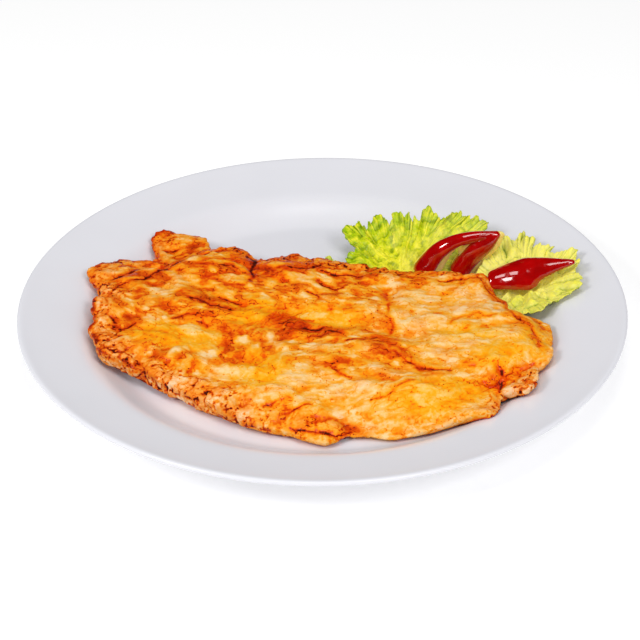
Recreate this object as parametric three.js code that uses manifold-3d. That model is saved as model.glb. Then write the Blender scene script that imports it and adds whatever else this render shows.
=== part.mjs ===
// A pan-fried schnitzel on a round white dinner plate,
// with two frilly lettuce leaves and two pieces of red pepper.
// Millimetres, +Z up. The origin is on the plate's axis, level with the flat underside of its foot ring.
// Seen by the diner at -Y, the schnitzel covers the well and the garnish lies behind it on the right.
import * as THREE from "three";
import { ImprovedNoise } from "three/addons/math/ImprovedNoise.js";
import { mergeVertices } from "three/addons/utils/BufferGeometryUtils.js";
import Module from "manifold-3d";

// ---- Driving dimensions ----

const GAP = 0.3; // what lies on something else keeps this clear of it

const PLATE = {
  radius: 135,
  floor: 7.5, // top of the flat well
  wellRadius: 90, // where the well starts to rise
  shoulderRadius: 109, // where its wall ends
  wallRise: 8,
  rimFrom: 100, // where the rim's own slope starts
  rimRise: 7.5,
  thickness: 4.4,
  lipThickness: 3.2,
  footRadius: 71,
  footWidth: 4,
  footDepth: 2.6, // hollow under the well
  footChamfer: 0.6,
  upperSteps: [0, 89, 93, 96, 99, 102, 105, 109, 116, 125, 132], // radii where the upper side has a ring
  lowerSteps: [122, 109, 104, 99, 94, 86],
  segments: 80,
};

const SCHNITZEL = {
  middle: [0, -25],
  // Its edge, walked from the right end towards the back.
  // Each point has its bearing from the middle in degrees, and its reach and the edge's height in mm.
  edge: [
    [8, 100, 9], [12, 94, 9], [16, 87.5, 9], [21, 88.5, 8.5], [28, 90, 8.5], [34, 88.5, 10.5],
    [40, 85, 13], [45, 81, 13.5], [52, 74.5, 13.5], [58, 69.5, 13], [64, 68, 12], [73, 68, 11.5],
    [85, 68.5, 11], [97, 72.5, 11], [106, 77.5, 11], [112, 79, 10.5], [115, 89, 11], [119.5, 95, 11],
    [122, 102, 10.5], [123, 112, 10.5], [127, 119, 11], [131, 121, 11], [133, 115, 10.5],
    [136.5, 107.5, 10], [142, 115, 10.5], [148, 118, 10.5], [153, 119.5, 10.5], [157, 110, 10.5],
    [161.5, 104.5, 10], [167, 108, 9.5], [174, 103, 9], [183, 96, 9], [191, 86.5, 9.5],
    [203, 73, 9.5], [216, 66, 9.5], [230, 62.5, 9], [247, 62, 8.5], [259, 61.5, 8], [270, 66, 7],
    [281, 61, 7], [297, 69.5, 6.5], [311, 77, 6.5], [322, 86, 7], [327, 85, 7], [331, 84, 7.5],
    [334, 95, 7.5], [339, 96, 8], [346, 94.5, 8], [349, 99, 8], [356, 98.5, 8.5], [3, 100, 9],
  ],
  thickness: 12, // where it is more than edgeBand from the edge
  edgeBand: 26,
  endLift: 8, // how far its stiff ends are held above the well by the plate's wall
  endLiftSpan: [52, 116], // distances from the middle line between which that lift grows
  ragged: 1.3,
  core: [42, 26], // half sizes of the oval that the mesh's rings grow out of
  coreShare: 0.4,
  segments: 120,
  topRings: 16,
  bottomRings: 4,
};

// Bumps of the crust, from broad swells to crags.
// Each has its size in x and y, and its height inside and at the edge.
const BUMPS = [
  { size: [34, 26], inside: 2.6, edge: 2.6 },
  { size: [11, 7.5], inside: 1.7, edge: 1.7 },
  { size: [5.5, 5], inside: 0.6, edge: 2.2 },
];

// Where one layer of the meat lies on another: the outer side of each line is lower by drop.
const LAYERS = [
  { from: [-47, 54], to: [-99, 15], drop: 3.4, blend: 3.5 }, // the two flaps at the back left
  { from: [96, -27], to: [76, 19], drop: 2.4, blend: 3 }, // the thin flap at the right end
];

// Creases in the crust, as straight valleys from one point to another.
const CREASES = [
  { from: [-72, 56], to: [-55, 55], width: 2.6, depth: 2.2 },
  { from: [-97, 32], to: [-75, 40], width: 2.8, depth: 2.4 },
  { from: [-64, 27], to: [-38, 3], width: 3.5, depth: 1.7 },
  { from: [-36, 38], to: [-18, 22], width: 3.2, depth: 1.8 },
  { from: [26, 33], to: [30, 12], width: 3, depth: 1.8 },
  { from: [-14, 0], to: [38, -22], width: 6, depth: 2.4 },
  { from: [71, -60], to: [88, -47], width: 3, depth: 3.4 },
  { from: [-74, -38], to: [-66, -30], width: 2.6, depth: 2.6 },
  { from: [-7, -80], to: [9, -80], width: 2.4, depth: 2.2 },
  { from: [-46, -50], to: [-12, -62], width: 3, depth: 1.3 },
];

// Two leaves, each a fan about its cut base.
// Their reach and height follow the fan from its first bearing to its last.
const LEAF = { thickness: 0.9, stalk: 6, teeth: 2 };
const LEAVES = {
  lettuce_left: {
    base: [37, 49.5, 10.5],
    bearings: [178, 14],
    reach: [24, 26, 29, 29, 26, 25, 26, 27, 31, 38, 41],
    height: [11, 13, 17, 20, 21, 23, 25, 26, 26, 26, 25],
    frill: 2.2,
    folds: 8.5,
    columns: 52,
    rows: 6,
  },
  lettuce_right: {
    base: [91, 25, 10.2],
    bearings: [122, -98],
    reach: [23, 29, 27, 29, 32, 28, 25, 23, 20, 13],
    height: [20, 24, 24, 24, 25, 23, 21, 17, 13, 11],
    frill: 1.6,
    folds: 7.5,
    columns: 46,
    rows: 6,
  },
};

// Pieces of pepper wall.
// Each strip runs along its spine, with the skin on its arched side, which faces outwards.
const PEPPER = {
  wall: 2.8,
  skinArch: 0.22,
  fleshArch: 0.14,
  steps: 12,
  arcPoints: 6,
  colour: 0xb30606,
  roughness: 0.2,
};
const PEPPER_FORK = {
  left: {
    spine: [
      [45.5, 44, 11.4], [49, 42.6, 17.2], [54, 41.8, 24], [61, 41.8, 28.6], [70, 42.3, 30.8],
      [81, 43, 31.5],
    ],
    width: [9, 8, 6.8, 5, 3.8, 1.6],
    outwards: [-0.25, -0.72, 0.64],
  },
  right: {
    spine: [
      [63, 44, 11.4], [66.4, 43, 17], [70.4, 42.2, 22.5], [74.4, 42, 26.8], [77.8, 42.4, 29.4],
      [81, 43, 31.5],
    ],
    width: [8, 8.2, 8.6, 8.2, 5.4, 1.6],
    outwards: [0.1, -0.86, 0.5],
  },
};
const PEPPER_POINT = {
  spine: [
    [76.5, 28.5, 17], [83, 27, 18.8], [88.5, 26, 19.8], [92.5, 25.5, 20.6], [96, 25, 23], [103.5, 24, 25.8],
    [114, 23.5, 28],
  ],
  width: [8, 11.5, 14, 15.5, 11.5, 6.8, 1.2],
  outwards: [0.1, -0.55, 0.83],
};

// ---- Helpers ----

const { smoothstep, lerp, degToRad } = THREE.MathUtils;
const noise = new ImprovedNoise();
const wasm = await Module();
wasm.setup();

// Values given at even steps along a walk from 0 to 1, read at any point of it by a smooth curve.
function along(values, at) {
  const curve = new THREE.SplineCurve(values.map((value, i) => new THREE.Vector2(i, value)));
  return curve.getPoint(at).y;
}

function distanceToSegment(x, y, { from, to }) {
  const [dx, dy] = [to[0] - from[0], to[1] - from[1]];
  const share = ((x - from[0]) * dx + (y - from[1]) * dy) / (dx * dx + dy * dy);
  const t = Math.min(1, Math.max(0, share));
  return Math.hypot(x - from[0] - t * dx, y - from[1] - t * dy);
}

// A closed surface through rings of equal count, from one pole to the other, facing out.
function skinOverRings(firstPole, rings, lastPole) {
  const count = rings[0].length;
  const points = [firstPole, ...rings.flat(), lastPole];
  const at = (ring, i) => 1 + ring * count + (i % count);
  const index = [];
  for (let i = 0; i < count; i++) {
    index.push(0, at(0, i), at(0, i + 1));
    for (let ring = 0; ring + 1 < rings.length; ring++) {
      index.push(at(ring, i), at(ring + 1, i), at(ring + 1, i + 1));
      index.push(at(ring, i), at(ring + 1, i + 1), at(ring, i + 1));
    }
    index.push(at(rings.length - 1, i), points.length - 1, at(rings.length - 1, i + 1));
  }
  return new THREE.BufferGeometry().setFromPoints(points).setIndex(index);
}

// A grid of points given a thickness: both faces are split alike and joined round the border.
function thickSheet(grid, thickness) {
  const [rows, columns] = [grid.length, grid[0].length];
  const face = new THREE.BufferGeometry().setFromPoints(grid.flat());
  const quads = [];
  for (let r = 0; r + 1 < rows; r++) {
    for (let c = 0; c + 1 < columns; c++) {
      const [a, d] = [r * columns + c, (r + 1) * columns + c];
      const [b, e] = [a + 1, d + 1];
      quads.push(a, d, e, a, e, b);
    }
  }
  face.setIndex(quads);
  face.computeVertexNormals();
  const normal = new THREE.Vector3();
  const offset = (side) =>
    grid.flat().map((point, i) => {
      normal.fromBufferAttribute(face.attributes.normal, i);
      return point.clone().addScaledVector(normal, (side * thickness) / 2);
    });
  const under = rows * columns;
  const border = [
    ...Array.from({ length: columns - 1 }, (_, c) => c),
    ...Array.from({ length: rows - 1 }, (_, r) => r * columns + columns - 1),
    ...Array.from({ length: columns - 1 }, (_, c) => under - 1 - c),
    ...Array.from({ length: rows - 1 }, (_, r) => (rows - 1 - r) * columns),
  ];
  const index = [...quads];
  for (let i = 0; i < quads.length; i += 3) {
    index.push(quads[i] + under, quads[i + 2] + under, quads[i + 1] + under);
  }
  border.forEach((here, i) => {
    const next = border[(i + 1) % border.length];
    index.push(here, next, next + under, here, next + under, here + under);
  });
  return new THREE.BufferGeometry().setFromPoints([...offset(1), ...offset(-1)]).setIndex(index);
}

function toSolid(geometry) {
  const merged = mergeVertices(geometry);
  return new wasm.Manifold(
    new wasm.Mesh({
      numProp: 3,
      vertProperties: merged.attributes.position.array,
      triVerts: new Uint32Array(merged.index.array),
    }),
  );
}

function fromSolid(solid) {
  const { vertProperties, triVerts } = solid.getMesh();
  return new THREE.BufferGeometry()
    .setAttribute("position", new THREE.BufferAttribute(vertProperties, 3))
    .setIndex(new THREE.BufferAttribute(triVerts, 1));
}

function piece(name, geometry, { colour, roughness }) {
  geometry.computeVertexNormals();
  const material = new THREE.MeshStandardMaterial({ color: colour, roughness, metalness: 0 });
  const mesh = new THREE.Mesh(geometry, material);
  mesh.name = name;
  return mesh;
}

// ---- Plate ----

// Height of the plate's upper surface at a distance from its axis.
function plateTop(radius) {
  const wall = smoothstep(radius, PLATE.wellRadius, PLATE.shoulderRadius);
  const rim = Math.max(0, (radius - PLATE.rimFrom) / (PLATE.radius - PLATE.rimFrom));
  return PLATE.floor + PLATE.wallRise * wall + PLATE.rimRise * rim ** 1.3;
}

function makePlate() {
  const { radius, thickness, lipThickness, footRadius, footWidth, footDepth, footChamfer } = PLATE;
  const footOuter = footRadius + footWidth / 2;
  const footInner = footRadius - footWidth / 2;
  const upper = PLATE.upperSteps.map((r) => [r, plateTop(r)]);
  const lip = plateTop(radius);
  const lipEdge = [
    [radius - 1, lip - 0.1],
    [radius, lip - 0.9],
    [radius - 0.2, lip - lipThickness * 0.75],
    [radius - 1.8, lip - lipThickness],
  ];
  const lower = PLATE.lowerSteps.map((r) => {
    const share = smoothstep(r, footOuter, radius);
    return [r, plateTop(r) - lerp(thickness + footChamfer, lipThickness, share)];
  });
  const foot = [
    [footOuter + 2.5, footDepth],
    [footOuter + footChamfer, footChamfer],
    [footOuter, 0],
    [footInner, 0],
    [footInner - footChamfer, footChamfer],
    [footInner - 3, footDepth],
    [0, footDepth],
  ];
  const profile = [...upper, ...lipEdge, ...lower, ...foot].reverse();
  const points = profile.map(([r, z]) => new THREE.Vector2(r, z));
  const geometry = new THREE.LatheGeometry(points, PLATE.segments).rotateX(Math.PI / 2);
  return piece("plate", geometry, { colour: 0xeeeff4, roughness: 0.15 });
}

// ---- Schnitzel ----

// Points all round the edge, each with the edge's height as its z.
function schnitzelEdge() {
  const { middle, edge, ragged, segments } = SCHNITZEL;
  const knots = edge.map(([bearing, reach, height]) => {
    const angle = degToRad(bearing);
    const [x, y] = [middle[0] + reach * Math.cos(angle), middle[1] + reach * Math.sin(angle)];
    return new THREE.Vector3(x, y, height);
  });
  const curve = new THREE.CatmullRomCurve3(knots, true, "centripetal");
  const walk = curve.getSpacedPoints(segments).slice(0, segments);
  const centre = new THREE.Vector3(...middle, 0);
  return walk.map((point) => {
    const outwards = point.clone().sub(centre).setZ(0).normalize();
    return point.addScaledVector(outwards, ragged * noise.noise(point.x / 5, point.y / 5, 7));
  });
}

// An oval about the middle, with a point for each of the edge's.
// Averaging neighbours keeps them apart under a notch.
function schnitzelCore(edge) {
  const { middle, core } = SCHNITZEL;
  const spread = 6;
  const centre = new THREE.Vector3(...middle, 0);
  const directions = edge.map((point) => point.clone().sub(centre).setZ(0).normalize());
  return directions.map((_, i) => {
    const mean = new THREE.Vector3();
    for (let k = -spread; k <= spread; k++) mean.add(directions[(i + k + edge.length) % edge.length]);
    mean.normalize();
    return new THREE.Vector3(middle[0] + core[0] * mean.x, middle[1] + core[1] * mean.y, 0);
  });
}

// Height of the schnitzel's underside: on the well's floor, bridging up to the plate's wall at both ends.
function schnitzelUnderside(x, y) {
  const bridge = SCHNITZEL.endLift * smoothstep(Math.abs(x), ...SCHNITZEL.endLiftSpan);
  return Math.max(plateTop(Math.hypot(x, y)), PLATE.floor + bridge) + GAP;
}

// What the layers, creases and crags of the crust add to its height. The crags are larger towards the edge.
function crustRelief(x, y, edgeShare) {
  let height = 0;
  for (const layer of LAYERS) {
    const [dx, dy] = [layer.to[0] - layer.from[0], layer.to[1] - layer.from[1]];
    const outside = ((x - layer.from[0]) * dy - (y - layer.from[1]) * dx) / Math.hypot(dx, dy);
    height -= layer.drop * smoothstep(outside, 0, layer.blend);
  }
  for (const crease of CREASES) {
    height -= crease.depth * Math.exp(-((distanceToSegment(x, y, crease) / crease.width) ** 2));
  }
  for (const { size, inside, edge } of BUMPS) {
    height += lerp(inside, edge, edgeShare) * noise.noise(x / size[0], y / size[1], size[0]);
  }
  return height;
}

function makeSchnitzel() {
  const { middle, thickness, edgeBand, coreShare, topRings, bottomRings } = SCHNITZEL;
  const centre = new THREE.Vector3(...middle, 0);
  const edge = schnitzelEdge();
  const nearestEdge = (x, y) => {
    const distance = (point) => Math.hypot(point.x - x, point.y - y);
    const nearest = edge.reduce((best, point) => (distance(point) < distance(best) ? point : best));
    return { distance: distance(nearest), height: nearest.z };
  };
  const thicknessAt = (x, y) => {
    const { distance, height } = nearestEdge(x, y);
    const edgeShare = 1 - smoothstep(distance, 0, edgeBand);
    return lerp(thickness, height, edgeShare) + crustRelief(x, y, edgeShare);
  };
  const oval = schnitzelCore(edge);
  // A point on the way from the middle through the oval to the edge.
  // Its level goes from 0 underneath to 1 on top.
  const at = (i, reach, level) => {
    const within = reach < coreShare;
    const from = within ? centre : oval[i];
    const to = within ? oval[i] : edge[i];
    const share = within ? reach / coreShare : (reach - coreShare) / (1 - coreShare);
    const [x, y] = [lerp(from.x, to.x, share), lerp(from.y, to.y, share)];
    return new THREE.Vector3(x, y, schnitzelUnderside(x, y) + (level > 0 ? level * thicknessAt(x, y) : 0));
  };
  const profile = [
    ...Array.from({ length: topRings }, (_, i) => [(0.97 * (i + 1)) / topRings, 1]),
    [0.995, 0.85],
    [1, 0.55],
    [0.985, 0.22],
    ...Array.from({ length: bottomRings }, (_, i) => [0.95 * (1 - i / bottomRings), 0]),
  ];
  const rings = profile.map(([reach, level]) => edge.map((_, i) => at(i, reach, level)));
  const geometry = skinOverRings(at(0, 0, 1), rings, at(0, 0, 0));
  return piece("schnitzel", geometry, { colour: 0xdd8f35, roughness: 0.45 });
}

// ---- Lettuce ----

function makeLeaf(name, leaf) {
  const { base, bearings, reach, height, frill, folds, columns, rows } = leaf;
  const stalk = LEAF.stalk / 2;
  const grid = [];
  for (let i = 0; i <= rows; i++) {
    const out = i / rows;
    const row = [];
    for (let j = 0; j <= columns; j++) {
      const fan = j / columns;
      const drift = 0.5 * noise.noise(fan * 7, out * 2, base[0]);
      const wave = Math.sin(2 * Math.PI * (folds * fan + drift));
      const teeth = LEAF.teeth * noise.noise(j * 0.45, 3, base[0]) * out ** 3;
      const distance = stalk + out * (along(reach, fan) - stalk) + teeth;
      const sway = 5 * out * Math.cos(4 * Math.PI * (folds * fan + drift));
      const bearing = degToRad(lerp(...bearings, fan) + sway);
      const [x, y] = [base[0] + distance * Math.cos(bearing), base[1] + distance * Math.sin(bearing)];
      const rise = lerp(base[2], along(height, fan), out ** 0.8) + frill * out ** 2 * wave;
      row.push(new THREE.Vector3(x, y, Math.max(rise, plateTop(Math.hypot(x, y)) + GAP + LEAF.thickness)));
    }
    grid.push(row);
  }
  return piece(name, thickSheet(grid, LEAF.thickness), { colour: 0xbfd12a, roughness: 0.5 });
}

// ---- Pepper ----

// A strip of pepper wall: an arched section carried along a spine, cut square at its wide end.
function pepperStrip({ spine, width, outwards }) {
  const { steps, arcPoints } = PEPPER;
  const curve = new THREE.CatmullRomCurve3(spine.map((point) => new THREE.Vector3(...point)));
  const facing = new THREE.Vector3(...outwards).normalize();
  const sections = [];
  for (let i = 0; i <= steps; i++) {
    const at = i / steps;
    const centre = curve.getPoint(at);
    const tangent = curve.getTangent(at);
    const side = new THREE.Vector3().crossVectors(tangent, facing).normalize();
    const out = new THREE.Vector3().crossVectors(side, tangent).normalize();
    const wide = along(width, at);
    const wall = Math.min(PEPPER.wall, wide * 0.6);
    const arch = (bulge, level) => (_, k) => {
      const across = (2 * k) / (arcPoints - 1) - 1;
      return centre
        .clone()
        .addScaledVector(side, (across * wide) / 2)
        .addScaledVector(out, bulge * (1 - across ** 2) - level);
    };
    const skin = Array.from({ length: arcPoints }, arch(wide * PEPPER.skinArch, 0));
    const flesh = Array.from({ length: arcPoints }, arch(wide * PEPPER.fleshArch, wall)).reverse();
    sections.push([...skin, ...flesh]);
  }
  const count = 2 * arcPoints;
  const index = [];
  const at = (section, k) => section * count + (k % count);
  for (let s = 0; s < steps; s++) {
    for (let k = 0; k < count; k++) {
      index.push(at(s, k), at(s + 1, k + 1), at(s + 1, k), at(s, k), at(s, k + 1), at(s + 1, k + 1));
    }
  }
  for (let k = 0; k + 1 < arcPoints; k++) {
    const [a, b, c, d] = [k, k + 1, count - 2 - k, count - 1 - k];
    index.push(at(0, a), at(0, c), at(0, b), at(0, a), at(0, d), at(0, c));
    index.push(at(steps, a), at(steps, b), at(steps, c), at(steps, a), at(steps, c), at(steps, d));
  }
  return new THREE.BufferGeometry().setFromPoints(sections.flat()).setIndex(index);
}

function makePepperFork() {
  const joined = toSolid(pepperStrip(PEPPER_FORK.left)).add(toSolid(pepperStrip(PEPPER_FORK.right)));
  return piece("pepper_fork", fromSolid(joined), PEPPER);
}

// ---- The whole ----

const group = new THREE.Group();
group.add(makePlate());
group.add(makeSchnitzel());
for (const [name, leaf] of Object.entries(LEAVES)) group.add(makeLeaf(name, leaf));
group.add(makePepperFork());
group.add(piece("pepper_point", pepperStrip(PEPPER_POINT), PEPPER));

export default group;
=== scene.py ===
"""A pan-fried schnitzel on a white porcelain plate, garnished with frilly lettuce and red pepper.

Run as a script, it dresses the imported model: every piece is made anew, rides on the root body and stands for the
CAD node it replaces. All places and sizes in tables are millimetres in the model's own frame, and angles degrees.
"""

import functools
import itertools
import math

import bpy
import numpy as np
from mathutils import Matrix, Vector


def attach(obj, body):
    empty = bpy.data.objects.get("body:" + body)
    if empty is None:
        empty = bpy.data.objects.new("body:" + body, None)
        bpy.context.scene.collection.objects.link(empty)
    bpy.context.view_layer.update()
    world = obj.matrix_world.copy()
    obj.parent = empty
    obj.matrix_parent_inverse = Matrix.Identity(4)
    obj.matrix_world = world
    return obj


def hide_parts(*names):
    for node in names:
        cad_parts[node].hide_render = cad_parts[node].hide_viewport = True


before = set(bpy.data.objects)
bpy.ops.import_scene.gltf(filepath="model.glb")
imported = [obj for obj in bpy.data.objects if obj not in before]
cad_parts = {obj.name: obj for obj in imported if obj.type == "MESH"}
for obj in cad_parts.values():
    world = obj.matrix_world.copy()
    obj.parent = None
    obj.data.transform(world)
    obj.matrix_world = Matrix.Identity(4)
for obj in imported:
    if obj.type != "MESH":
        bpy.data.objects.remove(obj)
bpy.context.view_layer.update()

bl_info = {
    "name": "Plated schnitzel",
    "version": (1, 0, 0),
    "blender": (4, 5, 0),
    "location": "View3D > Sidebar > Schnitzel",
    "description": "Makes a fried schnitzel with its plate, lettuce and red pepper",
    "category": "Add Mesh",
}

MM = 0.001
PER_MM = 1 / MM  # over a size in mm, it gives the scale of a pattern of that size
FAR = 1e9
ROOT = "root"

# ---- The plate's section, which the food rests on ----

PLATE = {
    "radius": 135,
    "floor": 7.5,
    "well_radius": 90,
    "shoulder_radius": 109,
    "wall_rise": 8,
    "rim_from": 100,
    "rim_rise": 7.5,
    "thickness": 4.4,
    "lip_thickness": 3.2,
    "foot_radius": 71,
    "foot_width": 4,
    "foot_depth": 2.6,
}
CLEARANCE = 0.3  # between the plate and the schnitzel

# ---- What lies where on the schnitzel's crust ----

MIDDLE = (0, -25)
KEPT_FACES = 0.57  # share of the finished mesh, which loses faces mostly on its hidden underside

# Noises that make outlines ragged (size, amount, seed) and that are drawn out along the grain (size, reach, seed).
RAGGED = ((9, 1.8, 20), (3.5, 0.8, 22))
WIDELY_RAGGED = ((14, 3.2, 40), (5, 1.6, 42))
STREAKS = ((8, 3.2, 51), (3.8, 1.9, 52), (1.8, 1.3, 53))

# Colours of the crust as it browns, from cream to charred, where it is golden and where it is pinkish.
BROWNING_STEPS = (0.0, 0.13, 0.26, 0.39, 0.52, 0.66, 0.8, 0.9, 1.0)
GOLDEN = ("#F5CF8A", "#F4BE5C", "#F4AE24", "#F6A002", "#F68C00", "#EF5C00", "#DA3600", "#A42002", "#4E0E02")
PINKISH = ("#F5CBA0", "#F3B67C", "#F09E4C", "#EA8420", "#E26A0A", "#D04A04", "#B23002", "#821A02", "#420C02")

# Areas by how brown they fried, each laid over those before it:
# middle x and y, half length, half width, angle, browning from 0 (cream) to 1 (charred), strength.
AREAS = [
    (-60, 0, 62, 75, 0, 0.42, 1.0), (45, -30, 62, 75, 0, 0.26, 1.0), (60, -16, 34, 24, 0, 0.17, 0.9),
    (0, -66, 46, 22, 4, 0.2, 0.9), (0, 38, 75, 16, -4, 0.65, 0.9), (-72, -24, 22, 15, 0, 0.37, 0.9),
    (-50, -33, 26, 9, -62, 0.22, 0.9), (-36, -51, 13, 7, -20, 0.14, 0.9), (-88, -4, 13, 9, -30, 0.54, 0.8),
    (-84, 19, 15, 6, 28, 0.58, 0.9), (-91, 31, 17, 6, 22, 0.47, 0.8), (-72, 55, 10, 9, 20, 0.45, 0.8),
    (-57, 43, 9, 4, 25, 0.14, 0.9), (-54, 26, 9, 4, -8, 0.62, 0.8), (-46, 35, 12, 7, -10, 0.5, 0.9),
    (-50, 7, 13, 5, -26, 0.64, 1.0), (-40, -18, 6, 8, 0, 0.56, 0.8), (-38, -36, 8, 6, 0, 0.56, 0.7),
    (-30, -3, 13, 11, 0, 0.33, 1.0), (-24, -46, 12, 5, 85, 0.4, 0.8), (14, 6, 22, 13, -8, 0.42, 0.9),
    (0, -6, 13, 6, -8, 0.27, 1.0), (16, -20, 12, 10, 0, 0.38, 0.8), (-15, -12, 13, 9, -60, 0.73, 1.0),
    (2, -18, 15, 4.5, 4, 0.7, 0.95), (-58, 14, 10, 5, -24, 0.62, 0.9), (-35, 8, 8, 5, -20, 0.56, 0.8),
    (30, -35, 11, 8, -50, 0.66, 1.0), (24, -26, 9, 4, -10, 0.5, 0.8), (-4, -38, 14, 8, -10, 0.22, 0.7),
    (48, -42, 10, 6, -18, 0.12, 0.8), (54, -6, 7, 3, 0, 0.36, 0.7), (68, -18, 7, 4, 40, 0.36, 0.7),
    (78, -40, 9, 8, 0, 0.28, 0.7), (52, -68, 24, 8, 12, 0.33, 0.9), (60, -72, 10, 5, 40, 0.3, 0.7),
    (55, -80, 18, 5, 8, 0.14, 0.8), (10, -48, 9, 6, 0, 0.5, 0.8), (26, -57, 9, 3, 14, 0.44, 0.6),
    (78, -63, 9, 9, 0, 0.54, 0.9), (89, -60, 5, 10, 10, 0.24, 0.8), (88, -14, 12, 8, -38, 0.44, 0.8),
    (96, -30, 5, 8, 10, 0.34, 0.7), (99, -41, 5, 9, 0, 0.2, 0.8), (78, 9, 8, 5, -30, 0.46, 0.8),
    (-2, -84, 16, 5, 0, 0.52, 0.9), (-2, -90, 9, 3, 0, 0.2, 0.9), (-36, -76, 14, 5, -15, 0.5, 0.7),
]

# Where the coating is clear and yellow: middle x and y, half length, half width, angle.
AMBER = [
    (52, -68, 26, 9, 12), (66, -23, 14, 7, -14), (78, -41, 11, 10, 0), (-30, -3, 15, 12, 0), (0, -6, 15, 7, -8),
    (-66, -22, 20, 10, 0), (92, -30, 8, 14, 0), (-26, -50, 12, 14, 0), (60, -88, 20, 5, 8),
]

# Where the outline swells or rises: middle x and y, reach, and the move in x, y and z.
NUDGES = [
    (-74, 66, 16, 0, 1.6, 1.0), (-60, 66, 12, 2.2, 3.6, 1.0), (-104, -6, 14, 4.2, 0, 0), (-93, -34, 9, -2.4, -1.6, 0),
    (75, 22, 14, 0.6, 0.6, 3.4), (79, 18, 8, -2, -1.5, -1.5), (70, -74, 12, 1.2, -5.5, 0.5), (87, -64, 8, 1, -2, 0),
]

# Pale flakes of coating that stand proud: middle x and y, half length, half width, angle, browning.
FLAKES = [
    (-70, 15, 9, 4, 44, 0.1), (-62, 24, 5, 3.5, 20, 0.2), (-78, 3, 6, 2.6, 20, 0.34), (-40, 25, 7, 3.6, -12, 0.1),
    (-48, 14, 5, 2.4, -20, 0.26), (-21, 36, 4.4, 2.4, -4, 0.16), (-10, 23, 7.5, 3.2, -28, 0.08),
    (0, 25, 7, 3.4, -26, 0.08), (7, 31, 5, 1.8, -6, 0.2), (30, 26, 5, 3.6, 35, 0.12), (10, 9, 3.6, 2.2, -10, 0.2),
    (20, 0, 3.6, 2.6, 20, 0.18), (-5, -4, 5.5, 2.4, -6, 0.1), (35, -10, 5, 7, 10, 0.08), (39, 9, 7, 6, 20, 0.1),
    (67, 9, 12, 6, 10, 0.1), (50, 15, 8, 3.5, 8, 0.14), (46, -12, 8, 4, 20, 0.13), (60, -30, 12, 5, -12, 0.14),
    (76, -26, 9, 4, -24, 0.12), (44, -70, 6, 5, 0, 0.14), (34, -62, 9, 3, 18, 0.16), (4, -33, 5, 4, 20, 0.12),
    (-9, -58, 13, 4, 6, 0.1), (14, -62, 10, 4, 12, 0.1), (26, -80, 10, 4, 10, 0.13), (-20, -66, 8, 3.5, -6, 0.15),
    (-58, -17, 6, 4, -20, 0.12), (-60, -46, 7, 2.4, 55, 0.2), (-79, -30, 6, 3, 30, 0.33), (48, -86, 12, 3, 8, 0.12),
    (80, -46, 7, 3, 10, 0.2), (-94, 30, 8, 2.4, 24, 0.2), (-84, 35, 6, 2, 20, 0.24), (-73, 50, 5, 3, 60, 0.18),
    (-74, 60, 4, 3, 20, 0.24), (2, -84, 7, 3, 0, 0.22), (-12, -82, 6, 3, 10, 0.25),
]

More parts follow.
